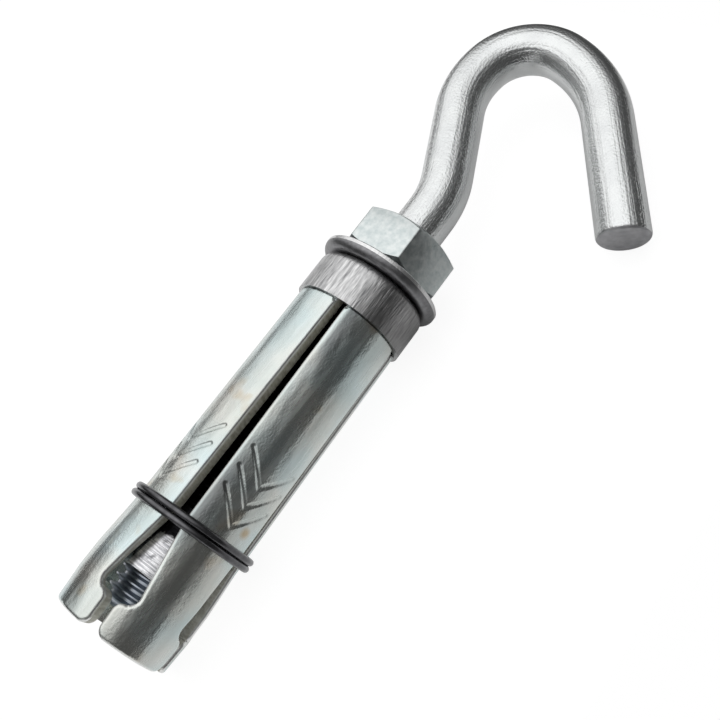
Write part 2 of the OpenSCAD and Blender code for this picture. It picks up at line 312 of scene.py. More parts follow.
# painted shade: the cone's upper end, inside the leaves, is painted near black with a ragged edge
cone_x = add(turned_steel, "SeparateXYZ", {"Vector": where}).outputs["X"]
cone_shade_line = add(turned_steel, "Math", {0: smears, 1: cone_shade_ragged, 2: cone_x},
               operation="MULTIPLY_ADD").outputs[0]
cone_painted_shade = add(turned_steel, "MapRange", {"Value": cone_shade_line, "From Min": cone_shade_edge,
                                        "From Max": cone_shade_edge + cone_shade_soft}).outputs["Result"]
cone_shaded_tone = add(turned_steel, "Mix", {0: cone_painted_shade, 6: smeared_tone, 7: linear("#1A1A1C")},
                  data_type="RGBA").outputs[2]
ring_relief = add(turned_steel, "Bump", {"Height": marks, "Strength": 0.7,
                                         "Distance": 0.12 * MM}).outputs["Normal"]
turned_steel.node_tree.links.new(cone_shaded_tone, skin.inputs["Base Color"])
turned_steel.node_tree.links.new(ring_relief, skin.inputs["Normal"])
nodes["expander_cone"].material_slots[0].material = turned_steel

# SHIELD LEAVES
# Four pressed steel leaves make the sleeve. Each was cut from strip, rolled to a quarter of a tube,
# stamped with three chevrons and zinc plated; the ferrule and the wire ring hold them together.
leaf_turn = 248
leaf_lean = radians(0.5)
neck_r = 6.85
neck_end = 6.15
tube_r = 7.25
swell_r = 7.55
toe_r = 7.22
leaf_bore = 4.55
lip_z = -6.0
ring_z = -37.5
leaf_low = -53.0
rim_round = 0.48
rim_worn_and_highlit = 0.24
quarter = radians(45)
slot_upper = 0.63
slot_at_ring = 0.86
window_half = 2.4
window_corner = 1.2
window_low = -48.5
lobe_corner = 1.3
lobe_gap = 0.4


def slot_half(z):
    """Half the gap between two leaves at a height along the leaf, in mm."""
    straight = np.interp(-z, [0, neck_end, -ring_z, -window_low - window_corner],
                         [slot_upper, slot_upper, slot_at_ring, window_half])
    corner_z = window_low + window_corner
    corner = window_corner + np.sqrt(np.maximum(window_corner ** 2 - np.minimum(z - corner_z, 0) ** 2, 0))
    window = np.where(z > corner_z, straight, np.maximum(corner, lobe_gap + lobe_corner))
    lobe_z = np.maximum(z - (window_low - lobe_corner), 0) - np.maximum(leaf_low + lobe_corner - z, 0)
    lobe = lobe_gap + lobe_corner - np.sqrt(np.maximum(lobe_corner ** 2 - lobe_z ** 2, 0))
    return np.where(z > window_low, window, lobe)


def leaf_out(z):
    """Outer radius of a leaf: the neck under the ferrule, the tube, and the swell round the cone."""
    return np.interp(-z, [0, neck_end - 0.001, neck_end, 39.2, 45, -window_low, -leaf_low],
                     [neck_r, neck_r, tube_r, tube_r, swell_r, swell_r, toe_r])


def leaf_in(z):
    """Inner radius of a leaf: the bore, the seat of the cone, and the inward toe."""
    return np.interp(-z, [0, 36, 44.2, 48.3, 48.7, -leaf_low],
                     [leaf_bore, leaf_bore, 5.95, 6.1, 4.92, 4.92])


def place_on_leaf(u, z, radius):
    """The angle from the leaf's middle at a share u of its half width."""
    return u * (quarter - np.arcsin(slot_half(z) / radius))


# three chevrons are stamped on each leaf, steeper on their inner side, one arm thinner towards its end
chevron_point = -35.0
chevron_pitch = 2.65
chevron_rise = 3.45
chevron_reach = tube_r * radians(28)
chevron_deep = 0.15
chevron_in = 0.42
chevron_steep = 0.3
chevron_out = 0.48
chevron_gentle = 0.42
chevron_thin = 0.15
chevron_count = 3

# rows of the leaf are close together round the lobes' corners and at the chevrons' walls
slant = np.hypot(1, chevron_rise / chevron_reach)
stamp = np.linspace(-chevron_in - 0.04, chevron_out + 0.04, 24) * slant
stamped = [stamp - chevron_point - i * chevron_pitch for i in range(chevron_count)]
bends = [np.sin(np.linspace(0, pi / 2, 16)[1:]) * window_corner - window_corner - window_low,
         -window_low + lobe_corner - lobe_corner * np.cos(np.linspace(0, pi / 2, 18)[1:]),
         -leaf_low - lobe_corner + lobe_corner * np.sin(np.linspace(0, pi / 2, 22)[1:])]
heights = -np.concatenate([np.linspace(0.85, 6.14, 6), [neck_end], np.linspace(6.25, 28.9, 76), stamped[2],
                           np.linspace(30.6, 31.5, 5), stamped[1], np.linspace(33.25, 34.15, 5),
                           stamped[0], np.linspace(35.9, 47.3, 52), bends[0], bends[1],
                           np.linspace(49.9, 51.7, 10)[:-1], bends[2]])
leaf_columns = 96
bpy.ops.object.select_all(action="DESELECT")
bpy.ops.mesh.primitive_grid_add(x_subdivisions=leaf_columns, y_subdivisions=len(heights) - 1, size=2)
blank = start_piece("leaf_blank")
bpy.ops.object.mode_set(mode="OBJECT")
count = len(blank.data.vertices)
flat = np.zeros(count * 3)
blank.data.vertices.foreach_get("co", flat)
flat = flat.reshape(-1, 3)
row = np.round((1 - flat[:, 1]) / 2 * (len(heights) - 1)).astype(int)
# columns are closer together towards the leaf's two sides
crowding = 0.4
share = (1 - crowding) * flat[:, 0] + crowding * np.sin(flat[:, 0] * pi / 2)
for name, values in (("leaf_share", share), ("leaf_height", heights[row])):
    blank.data.attributes.new(name, "FLOAT", "POINT").data.foreach_set("value", values)
bpy.ops.object.mode_set(mode="EDIT")
bpy.ops.mesh.select_all(action="SELECT")
bpy.ops.mesh.extrude_region_move(TRANSFORM_OT_translate={"value": (0, 0, -MM)})
bpy.ops.object.mode_set(mode="OBJECT")

mesh = blank.data
count = len(mesh.vertices)
u = np.zeros(count)
z = np.zeros(count)
inner = np.zeros(count, bool)
mesh.attributes["leaf_share"].data.foreach_get("value", u)
mesh.attributes["leaf_height"].data.foreach_get("value", z)
mesh.vertices.foreach_get("select", inner)
# round the chevrons the rows rise to both sides, as the arms do
lift = np.interp(z, [-38.6, -35.8, -28.8, -16], [0, chevron_rise, chevron_rise, 0])
z = z + lift * np.minimum(place_on_leaf(np.abs(u), z, tube_r) * tube_r / chevron_reach, 1)
radius = np.where(inner, leaf_in(z), leaf_out(z))
angle = place_on_leaf(u, z, radius)

# the sheared rim is rounded over by its distance from the blank's outline
toe_samples = 30
rim_near = 1.2
far_inside = 9.0
rim_z = np.concatenate([heights, np.full(toe_samples, leaf_low)])
rim_reach = np.concatenate([np.ones(len(heights)), np.linspace(1, -1, toe_samples)])
rim_arc = place_on_leaf(rim_reach, rim_z, leaf_out(rim_z)) * leaf_out(rim_z)
edge = np.full(count, far_inside)
arc = np.abs(angle) * radius
for i in range(len(rim_z) - 1):
    a = np.array([rim_arc[i], rim_z[i]])
    b = np.array([rim_arc[i + 1], rim_z[i + 1]])
    near = ~inner & (np.abs(z - a[1]) < rim_near)
    p = np.stack([arc[near], z[near]], 1) - a
    t = np.clip(p @ (b - a) / max((b - a) @ (b - a), 1e-12), 0, 1)
    edge[near] = np.minimum(edge[near], np.hypot(*(p - t[:, None] * (b - a)).T))
lost = np.maximum(rim_round - edge, 0)
radius = radius - np.where(z < lip_z, rim_round - np.sqrt(rim_round ** 2 - lost ** 2), 0)

# the chevrons are shallow grooves
press = np.zeros(count)
across = np.array([-chevron_rise, chevron_reach])
arm = np.array([chevron_reach, chevron_rise])
for i in range(chevron_count):
    p = np.stack([arc, z - (chevron_point + i * chevron_pitch)], 1)
    t = np.clip(p @ arm / (arm @ arm), 0, 1)
    off = p - t[:, None] * arm
    slim = np.where(angle < 0, 1 - chevron_thin * t, 1)
    away = np.hypot(*off.T)
    steep = (chevron_in * slim - away) / chevron_steep
    gentle = (chevron_out * slim - away) / chevron_gentle
    press = np.maximum(press, np.clip(np.where(off @ across > 0, steep, gentle), 0, 1))
radius = radius - np.where(inner, 0, chevron_deep * press ** 2 * (3 - 2 * press))
places = np.stack([radius * np.cos(angle), radius * np.sin(angle), z], 1)
mesh.vertices.foreach_set("co", places.ravel() * MM)
for name in ("leaf_share", "leaf_height"):
    mesh.attributes.remove(mesh.attributes[name])
for face in mesh.polygons:
    sheared = len({bool(inner[i]) for i in face.vertices}) == 2
    # the rim's outer line is painted bright, partly wear and partly a painted highlight
    worn_and_highlit = max(edge[i] for i in face.vertices) < rim_worn_and_highlit
    face.material_index = 1 if sheared else 2 if worn_and_highlit else 0
bpy.ops.object.mode_set(mode="EDIT")
close_piece(crease=50)

# Zinc plate with a pale blue-green passivated film, cloudy and turning warm in places, with tan water
# spots, one dried drop above the ring, and dull streaks along the leaf where it was handled in the
# barrel. Beside the upper slot and the one opposite, above the ring, a dark grey band is painted on as
# shade and dark reflection, least at the slot's middle. The plate's grain is drawn coarser than it is,
# so that it shows
drop_at = Vector((-34.7, -7.48, 0.59)) * MM
across_slot = (0, -0.92, -0.39)
slot_middle = -21 * MM
leaf_zinc, skin, where = new_metal("passivated_zinc_plate", 0.26)
clouds = add(leaf_zinc, "TexNoise", {"Vector": where, "Scale": per_mm(6), "Detail": 4}).outputs["Fac"]
hues = add(leaf_zinc, "TexNoise", {"Vector": where, "Scale": per_mm(9), "Detail": 2}).outputs["Fac"]
warmed = add(leaf_zinc, "MapRange", {"Value": hues, "From Min": 0.38, "From Max": 0.62}).outputs["Result"]
sheen = add(leaf_zinc, "Mix", {0: warmed, 6: linear("#DCEAEC"), 7: linear("#F2ECE4")},
            data_type="RGBA").outputs[2]
film = add(leaf_zinc, "Mix", {0: clouds, 6: linear("#BFCBC8"), 7: sheen}, data_type="RGBA").outputs[2]
spots = add(leaf_zinc, "TexNoise", {"Vector": where, "Scale": per_mm(4), "Detail": 2}).outputs["Fac"]
spotted = add(leaf_zinc, "MapRange", {"Value": spots, "From Min": 0.62, "From Max": 0.72,
                                      "To Max": 0.35}).outputs["Result"]
off_drop = add(leaf_zinc, "VectorMath", {0: where, 1: drop_at}, operation="DISTANCE").outputs["Value"]
frayed = add(leaf_zinc, "Math", {0: clouds, 1: 1.6 * MM, 2: off_drop},
             operation="MULTIPLY_ADD").outputs[0]
dried = add(leaf_zinc, "MapRange", {"Value": frayed, "From Min": 1.9 * MM, "From Max": 1.3 * MM,
                                    "To Max": 0.75}).outputs["Result"]
watered = add(leaf_zinc, "Math", {0: spotted, 1: dried}, operation="MAXIMUM").outputs[0]
tanned = add(leaf_zinc, "Mix", {0: watered, 6: film, 7: linear("#C4AE8A")}, data_type="RGBA").outputs[2]
# painted shade and dark reflection: a dark grey band beside the upper slot and the one opposite, above the
# ring
off_slot = add(leaf_zinc, "VectorMath", {0: where, 1: across_slot},
               operation="DOT_PRODUCT").outputs["Value"]
ragged = add(leaf_zinc, "Math", {0: clouds, 1: 1.2 * MM, 2: off_slot},
             operation="MULTIPLY_ADD").outputs[0]
leaf_x = add(leaf_zinc, "SeparateXYZ", {"Vector": where}).outputs["X"]
past_middle = add(leaf_zinc, "Math", {0: leaf_x, 1: slot_middle}, operation="SUBTRACT").outputs[0]
off_middle = add(leaf_zinc, "Math", {0: past_middle}, operation="ABSOLUTE").outputs[0]
beside_slot = add(leaf_zinc, "MapRange", {"Value": ragged, "From Min": 4.1 * MM,
                                          "From Max": 3.1 * MM}).outputs["Result"]
off_rim = add(leaf_zinc, "MapRange", {"Value": off_slot, "From Min": 1.15 * MM,
                                      "From Max": 1.6 * MM}).outputs["Result"]
above_ring = add(leaf_zinc, "MapRange", {"Value": leaf_x, "From Min": -41 * MM,
                                         "From Max": -37 * MM}).outputs["Result"]
towards_ends = add(leaf_zinc, "MapRange", {"Value": off_middle, "From Min": 4 * MM, "From Max": 10 * MM,
                                           "To Min": 0.2, "To Max": 0.65}).outputs["Result"]
leaf_painted_shade = beside_slot
for limit in (off_rim, towards_ends, above_ring):
    leaf_painted_shade = add(leaf_zinc, "Math", {0: leaf_painted_shade, 1: limit}, operation="MULTIPLY").outputs[0]
leaf_shaded_tone = add(leaf_zinc, "Mix", {0: leaf_painted_shade, 6: tanned, 7: linear("#4E4B50")}, data_type="RGBA").outputs[2]
barrel_slide = add(leaf_zinc, "Mapping", {"Vector": where,
                                          "Scale": (per_mm(9), per_mm(0.7), per_mm(0.7))}).outputs["Vector"]
streaks = add(leaf_zinc, "TexNoise", {"Vector": barrel_slide, "Scale": 1, "Detail": 5}).outputs["Fac"]
dulled = add(leaf_zinc, "MapRange", {"Value": streaks, "From Min": 0.3, "From Max": 0.75, "To Min": 0.18,
                                     "To Max": 0.36}).outputs["Result"]
rolling = add(leaf_zinc, "Mapping", {"Vector": where,
                                     "Scale": (per_mm(7), per_mm(3), per_mm(3))}).outputs["Vector"]
waves = add(leaf_zinc, "TexNoise", {"Vector": rolling, "Scale": 1, "Detail": 2}).outputs["Fac"]
rolled = add(leaf_zinc, "Bump", {"Height": waves, "Strength": 0.6,
                                 "Distance": 0.35 * MM}).outputs["Normal"]
grain = add(leaf_zinc, "TexNoise", {"Vector": where, "Scale": per_mm(0.25), "Detail": 3}).outputs["Fac"]
grained = add(leaf_zinc, "Bump", {"Height": grain, "Strength": 0.9, "Distance": 0.03 * MM,
                                  "Normal": rolled}).outputs["Normal"]
leaf_zinc.node_tree.links.new(leaf_shaded_tone, skin.inputs["Base Color"])
leaf_zinc.node_tree.links.new(grained, skin.inputs["Normal"])
leaf_zinc.node_tree.links.new(dulled, skin.inputs["Roughness"])

# Sheared edges under a thinner plate: duller, a little brown, and torn in short lines through the
# sheet, so the pattern changes along and round the anchor but not outwards
unroll_r = 7 * MM
sheared_edge, skin, where = new_metal("sheared_steel_edge", 0.5)
skin.inputs["Metallic"].default_value = 0.3
lengthwise = add(sheared_edge, "VectorMath", {0: where, 1: (1, 0, 0)}, operation="MULTIPLY").outputs[0]
outwards = add(sheared_edge, "VectorMath", {0: where, 1: (0, 1, 1)}, operation="MULTIPLY").outputs[0]
bearing = add(sheared_edge, "VectorMath", {0: outwards}, operation="NORMALIZE").outputs[0]
unrolled = add(sheared_edge, "VectorMath", {0: bearing, 1: (unroll_r, unroll_r, unroll_r), 2: lengthwise},
               operation="MULTIPLY_ADD").outputs[0]
torn = add(sheared_edge, "TexNoise", {"Vector": unrolled, "Scale": per_mm(0.4),
                                      "Detail": 4}).outputs["Fac"]
bared = add(sheared_edge, "MapRange", {"Value": torn, "From Min": 0.3, "From Max": 0.7}).outputs["Result"]
edge_tone = add(sheared_edge, "Mix", {0: bared, 6: linear("#C2C1B4"), 7: linear("#F4F4EC")},
                data_type="RGBA").outputs[2]
edge_relief = add(sheared_edge, "Bump", {"Height": torn, "Strength": 0.6,
                                         "Distance": 0.08 * MM}).outputs["Normal"]
sheared_edge.node_tree.links.new(edge_tone, skin.inputs["Base Color"])
sheared_edge.node_tree.links.new(edge_relief, skin.inputs["Normal"])

# Rims rubbed in the barrel: a thin line of brighter, smoother zinc, partly wear and partly a painted
# highlight
worn_and_highlit_zinc, skin, where = new_metal("zinc_rim_wear_and_painted_highlight", 0.3)
skin.inputs["Metallic"].default_value = 0.88
rubbing = add(worn_and_highlit_zinc, "TexNoise", {"Vector": where, "Scale": per_mm(0.8),
                                        "Detail": 3}).outputs["Fac"]
rim_wear_and_highlight_tone = add(worn_and_highlit_zinc, "Mix", {0: rubbing, 6: linear("#DEE0DC"), 7: linear("#FFFFFF")},
                  data_type="RGBA").outputs[2]
worn_and_highlit_zinc.node_tree.links.new(rim_wear_and_highlight_tone, skin.inputs["Base Color"])

# the leaf is copied round the anchor, each copy tipped out about its edge in the ferrule's lip
lay = Matrix.Rotation(pi / 2, 4, "Y")
lip = Matrix.Translation((neck_r * MM, 0, lip_z * MM))
lean = lip @ Matrix.Rotation(-leaf_lean, 4, "Y") @ lip.inverted()
for k in range(4):
    leaf = blank.copy()
    leaf.data = blank.data.copy()
    leaf.name = "shield_leaf_skin_%d" % (k + 1)
    bpy.context.collection.objects.link(leaf)
    leaf.data.transform(lay @ Matrix.Rotation(radians(leaf_turn + 90 * k), 4, "Z") @ lean)
    give(leaf, leaf_zinc, sheared_edge, worn_and_highlit_zinc)
    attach(leaf, "leaf_%d" % (k + 1))
    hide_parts("shield_leaf_%d" % (k + 1))
bpy.data.objects.remove(blank)

# WIRE RING
# Black spring wire wound twice round the leaves, which holds them closed until the cone spreads them.
# It is kept in four lengths, one on each leaf, whose thinner ends slide inside their neighbours.
wire_r = 0.45
wire_lap = 9
wire_step = 3
wire_turn = 360 * 2
over_leaves = 7.585
coil_r = over_leaves + wire_r
coil_pitch = 0.91
wire_begin = 180 + 25
end_slim = 0.94

# Black oxide on spring wire, scuffed to grey in places
black_wire, skin, where = new_metal("black_spring_wire", 0.25)
scuffs = add(black_wire, "TexNoise", {"Vector": where, "Scale": per_mm(1.1), "Detail": 4}).outputs["Fac"]
wire_tone = add(black_wire, "Mix", {0: scuffs, 6: linear("#3E3E40"), 7: linear("#848487")},
                data_type="RGBA").outputs[2]
black_wire.node_tree.links.new(wire_tone, skin.inputs["Base Color"])

for k in range(4):
    runs = []
    for lap in (-1, 0, 1, 2):
        first = max(90 * k - 45 - wire_begin + 360 * lap, 0)
        last = min(90 * k + 45 - wire_begin + 360 * lap, wire_turn)
        if last > first:
            runs.append((first, last))
    pieces = []
    for first, last in runs:
        begin = first - (wire_lap if first > 0 else 0)
        end = last + (wire_lap if last < wire_turn else 0)
        bpy.ops.object.select_all(action="DESELECT")
        bpy.ops.mesh.primitive_circle_add(vertices=20, radius=wire_r * MM, rotation=(pi / 2, 0, 0),
                                          location=(coil_r * MM, 0, 0), fill_type="NGON")
        run = start_piece("wire_run")
        bpy.ops.object.mode_set(mode="OBJECT")
        bpy.ops.object.modifier_add(type="SCREW")
        winding = run.modifiers[-1]
        winding.axis = "Z"
        winding.angle = radians(end - begin)
        winding.screw_offset = coil_pitch * (end - begin) / 360 * MM
        winding.steps = ceil((end - begin) / wire_step)
        winding.render_steps = winding.steps
        bpy.ops.object.modifier_apply(modifier=winding.name)
        for point in run.data.vertices:
            turned = np.degrees(np.arctan2(point.co.y, point.co.x)) % 360
            middle = Vector((coil_r * cos(radians(turned)), coil_r * sin(radians(turned)),
                             coil_pitch * turned / 360)) * MM
            if not first - 0.1 < begin + turned < last + 0.1:
                point.co = middle + (point.co - middle) * end_slim
        run.data.transform(lay @ Matrix.Rotation(radians(leaf_turn + wire_begin + begin), 4, "Z")
                           @ Matrix.Translation((0, 0, (ring_z + coil_pitch * (begin / 360 - 1)) * MM)))
        bpy.ops.object.mode_set(mode="EDIT")
        bpy.ops.mesh.select_all(action="SELECT")
        bpy.ops.mesh.fill_holes(sides=0)
        close_piece(crease=50)
        pieces.append(run)
    for run in pieces:
        run.select_set(True)
    bpy.ops.object.join()
    wire = bpy.context.active_object
    wire.name = "wire_length_%d" % (k + 1)
    give(wire, black_wire)
    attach(wire, "leaf_%d" % (k + 1))
    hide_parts("wire_ring")

# FERRULE
# A cap drawn from bare steel sheet, pushed over the leaves' necks. It shows the die's brushed lines
# along the anchor. It has no plating, and one side is painted a darker grey as painted shade.
shaded_side = (0, -0.72, -0.68)
ferrule_steel, skin, where = new_metal("drawn_steel_sheet", 0.3)
line_widths = (per_mm(8), per_mm(0.28), per_mm(0.28))
die_lines_at = add(ferrule_steel, "Mapping", {"Vector": where, "Scale": line_widths}).outputs["Vector"]
lines = add(ferrule_steel, "TexNoise", {"Vector": die_lines_at, "Scale": 1, "Detail": 4}).outputs["Fac"]
nick_widths = (per_mm(1.4), per_mm(0.2), per_mm(0.2))
nicks_at = add(ferrule_steel, "Mapping", {"Vector": where, "Scale": nick_widths}).outputs["Vector"]
nicks = add(ferrule_steel, "TexNoise", {"Vector": nicks_at, "Scale": 1, "Detail": 4}).outputs["Fac"]
worked = add(ferrule_steel, "Math", {0: lines, 1: nicks}, operation="ADD").outputs[0]
scraped = add(ferrule_steel, "MapRange", {"Value": worked, "From Min": 0.65,
                                          "From Max": 1.35}).outputs["Result"]
sheet_tone = add(ferrule_steel, "Mix", {0: scraped, 6: linear("#7E7E80"), 7: linear("#F2F2F2")},
                 data_type="RGBA").outputs[2]
# painted shade: one side of the ferrule is painted darker grey, with a ragged edge
to_side = add(ferrule_steel, "VectorMath", {0: where, 1: shaded_side},
              operation="DOT_PRODUCT").outputs["Value"]
uneven = add(ferrule_steel, "TexNoise", {"Vector": where, "Scale": per_mm(4), "Detail": 3}).outputs["Fac"]
shade_edge_at = add(ferrule_steel, "Math", {0: uneven, 1: 8 * MM, 2: to_side},
                operation="MULTIPLY_ADD").outputs[0]
ferrule_painted_shade = add(ferrule_steel, "MapRange", {"Value": shade_edge_at, "From Min": 2 * MM, "From Max": 9 * MM,
                                        "To Max": 0.6}).outputs["Result"]
ferrule_shaded_tone = add(ferrule_steel, "Mix", {0: ferrule_painted_shade, 6: sheet_tone, 7: linear("#6C6A6A")},
                data_type="RGBA").outputs[2]
brushed = add(ferrule_steel, "Bump", {"Height": worked, "Strength": 0.9,
                                      "Distance": 0.06 * MM}).outputs["Normal"]
ferrule_steel.node_tree.links.new(ferrule_shaded_tone, skin.inputs["Base Color"])
ferrule_steel.node_tree.links.new(brushed, skin.inputs["Normal"])
nodes["ferrule"].material_slots[0].material = ferrule_steel

# WASHER
# A plain washer pressed from steel sheet, between the nut and the ferrule. The press rounded its lower
# side and left a narrow upright rim, painted bright, partly rubbed by handling and partly a painted
# highlight; the rest has a dark oxide film.
washer_r = 8.5
washer_hole = 4.3
washer_t = 1.6
roll_wide = 1.15
roll_high = 1.05
roll_steps = 12
rim_edge = 0.12
lower_edge = 0.25
upper_edge = 0.15
washer_profile = [(0, washer_hole + lower_edge)]
for step in range(roll_steps + 1):
    swing = pi / 2 * step / roll_steps
    washer_profile.append((roll_high * (1 - cos(swing)), washer_r - roll_wide * (1 - sin(swing))))
washer_profile += [(washer_t - rim_edge, washer_r), (washer_t, washer_r - rim_edge),
                   (washer_t, washer_hole + upper_edge), (washer_t - upper_edge, washer_hole),
                   (lower_edge, washer_hole)]
bpy.ops.object.select_all(action="DESELECT")
bpy.ops.mesh.primitive_circle_add(vertices=3, radius=MM)
washer = start_piece("washer_pressed")
bpy.ops.mesh.merge(type="CENTER")
at = (0, 0)
for x, r in washer_profile + washer_profile[:1]:
    onward = ((x - at[0]) * MM, 0, (r - at[1]) * MM)
    bpy.ops.mesh.extrude_vertices_move(TRANSFORM_OT_translate={"value": onward})
    at = (x, r)
bpy.ops.object.mode_set(mode="OBJECT")
for point in washer.data.vertices:
    point.select = point.co.length < 0.1 * MM
bpy.ops.object.mode_set(mode="EDIT")
bpy.ops.mesh.delete(type="VERT")
bpy.ops.mesh.select_all(action="SELECT")
bpy.ops.mesh.spin(steps=120, angle=2 * pi, center=(0, 0, 0), axis=(1, 0, 0))
close_piece(crease=35)
# the upright rim is painted bright, partly wear and partly a painted highlight
for face in washer.data.polygons:
    outermost = face.center.yz.length > (washer_r - 0.1) * MM
    face.material_index = 1 if outermost and face.center.x > 0.95 * roll_high * MM else 0

# Dark oxide on pressed steel: satin, almost charcoal, with its grain drawn coarser than it is to show
washer_steel, skin, where = new_metal("pressed_washer_steel", 0.36)
satin = add(washer_steel, "TexNoise", {"Vector": where, "Scale": per_mm(0.5), "Detail": 5}).outputs["Fac"]
satin_tone = add(washer_steel, "Mix", {0: satin, 6: linear("#6A6A6C"), 7: linear("#A4A4A6")},
                 data_type="RGBA").outputs[2]
satin_relief = add(washer_steel, "Bump", {"Height": satin, "Strength": 0.6,
                                          "Distance": 0.06 * MM}).outputs["Normal"]
washer_steel.node_tree.links.new(satin_tone, skin.inputs["Base Color"])
washer_steel.node_tree.links.new(satin_relief, skin.inputs["Normal"])

# The upright rim is bright and a little scratched, partly bare steel rubbed by handling and partly a
# painted highlight; the scratches are drawn wider than they are to show
washer_rim_wear_and_highlight, skin, where = new_metal("washer_rim_wear_and_painted_highlight", 0.3)
rub = add(washer_rim_wear_and_highlight, "TexNoise", {"Vector": where, "Scale": per_mm(0.35), "Detail": 4}).outputs["Fac"]
rim_wear_highlight_tone = add(washer_rim_wear_and_highlight, "Mix", {0: rub, 6: linear("#C8C8C8"), 7: linear("#FFFFFF")},
               data_type="RGBA").outputs[2]
rub_relief = add(washer_rim_wear_and_highlight, "Bump", {"Height": rub, "Strength": 0.7,
                                      "Distance": 0.06 * MM}).outputs["Normal"]
washer_rim_wear_and_highlight.node_tree.links.new(rim_wear_highlight_tone, skin.inputs["Base Color"])
washer_rim_wear_and_highlight.node_tree.links.new(rub_relief, skin.inputs["Normal"])
give(washer, washer_steel, washer_rim_wear_and_highlight)
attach(washer, "ferrule")
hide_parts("washer")

# NUT
# A standard 13 mm hexagon nut, cold formed and chamfered on both faces, zinc plated with a pale
# blue-green film. Tumbling softened its corners, which are painted bright as on the leaves' rims, partly
# rubbed wear and partly a painted highlight.
nut_af = 13 * MM
nut_h = 6.5 * MM
nut_low = 1.6 * MM
nut_turn = radians(41)
corner_r = nut_af / 2 / cos(pi / 6)
# the upper face, 1, is a little wider than the lower one, -1
face_r = {1: 0.465 * nut_af, -1: 0.435 * nut_af}
chamfer_slope = 0.577
chamfer = {up: (corner_r - face_r[up]) * chamfer_slope for up in face_r}
turning_r = corner_r * 1.001
bore_r = 4.02 * MM
edge_round = 0.22 * MM
bpy.ops.object.select_all(action="DESELECT")
bpy.ops.mesh.primitive_cylinder_add(vertices=6, radius=corner_r, depth=nut_h,
                                    location=(0, 0, nut_h / 2))
nut = start_piece("hex_nut_forged")
bpy.ops.mesh.select_mode(type="EDGE")
bpy.ops.mesh.select_all(action="DESELECT")
bpy.ops.object.mode_set(mode="OBJECT")
for side in nut.data.edges:
    low, high = (nut.data.vertices[i].co.z for i in side.vertices)
    side.select = abs(high - low) > 0.5 * nut_h
bpy.ops.object.mode_set(mode="EDIT")
bpy.ops.mesh.bevel(offset=edge_round, segments=4, affect="EDGES", material=1)
bpy.ops.mesh.select_mode(type="VERT")
bpy.ops.object.mode_set(mode="OBJECT")
nut.data.transform(Matrix.Rotation(nut_turn + pi / 6, 4, "Z"))
bpy.ops.object.select_all(action="DESELECT")
bpy.ops.mesh.primitive_cylinder_add(vertices=96, radius=turning_r, depth=nut_h - chamfer[1] - chamfer[-1],
                                    location=(0, 0, (nut_h + chamfer[-1] - chamfer[1]) / 2))
nut_turning = start_piece("nut_turning")
bpy.ops.object.mode_set(mode="OBJECT")
for up in face_r:
    bpy.ops.object.mode_set(mode="EDIT")
    bpy.ops.mesh.select_mode(type="FACE")
    bpy.ops.mesh.select_all(action="DESELECT")
    bpy.ops.object.mode_set(mode="OBJECT")
    for face in nut_turning.data.polygons:
        face.select = face.normal.z * up > 0.9
    bpy.ops.object.mode_set(mode="EDIT")
    bpy.ops.mesh.extrude_region_move(TRANSFORM_OT_translate={"value": (0, 0, up * chamfer[up])})
    shrink = face_r[up] / turning_r
    bpy.ops.transform.resize(value=(shrink, shrink, 1), center_override=(0, 0, 0))
bpy.ops.mesh.select_mode(type="VERT")
bpy.ops.object.mode_set(mode="OBJECT")
bpy.ops.object.select_all(action="DESELECT")
bpy.ops.mesh.primitive_cylinder_add(vertices=96, radius=bore_r, depth=2 * nut_h,
                                    location=(0, 0, nut_h / 2))
nut_drill = start_piece("nut_drill")
bpy.ops.object.mode_set(mode="OBJECT")
bpy.context.view_layer.objects.active = nut
for cutter, operation in ((nut_turning, "INTERSECT"), (nut_drill, "DIFFERENCE")):
    bpy.ops.object.modifier_add(type="BOOLEAN")
    nut.modifiers[-1].object = cutter
    nut.modifiers[-1].operation = operation
    nut.modifiers[-1].solver = "EXACT"
    bpy.ops.object.modifier_apply(modifier=nut.modifiers[-1].name)
    bpy.data.objects.remove(cutter)
bpy.ops.object.select_all(action="DESELECT")
nut.select_set(True)
bpy.ops.object.modifier_add(type="BEVEL")
tumbled = nut.modifiers[-1]
tumbled.width = 0.07 * MM
tumbled.segments = 2
tumbled.use_clamp_overlap = False
tumbled.limit_method = "ANGLE"
tumbled.angle_limit = radians(20)
tumbled.material = 1
bpy.ops.object.modifier_apply(modifier=tumbled.name)
nut.data.transform(lay @ Matrix.Translation((0, 0, nut_low)))
bpy.ops.object.mode_set(mode="EDIT")
close_piece(crease=25)

# Zinc plate on the nut: flat, pale and finely mottled, a little duller than on the leaves
nut_zinc, skin, where = new_metal("nut_zinc_plate", 0.3)
mottle = add(nut_zinc, "TexNoise", {"Vector": where, "Scale": per_mm(0.7), "Detail": 4}).outputs["Fac"]
mottled = add(nut_zinc, "MapRange", {"Value": mottle, "From Min": 0.32,
                                     "From Max": 0.68}).outputs["Result"]
nut_tone = add(nut_zinc, "Mix", {0: mottled, 6: linear("#C1CACA"), 7: linear("#DFE4E3")},
               data_type="RGBA").outputs[2]
nut_haze = add(nut_zinc, "MapRange", {"Value": mottle, "From Min": 0, "From Max": 1, "To Min": 0.22,
                                      "To Max": 0.42}).outputs["Result"]
nut_relief = add(nut_zinc, "Bump", {"Height": mottle, "Strength": 0.4,
                                    "Distance": 0.06 * MM}).outputs["Normal"]
nut_zinc.node_tree.links.new(nut_tone, skin.inputs["Base Color"])
nut_zinc.node_tree.links.new(nut_relief, skin.inputs["Normal"])
nut_zinc.node_tree.links.new(nut_haze, skin.inputs["Roughness"])
# the corners' bevels take the bright rim zinc, partly wear and partly a painted highlight
give(nut, nut_zinc, worn_and_highlit_zinc)
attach(nut, "nut")
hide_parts("hex_nut")

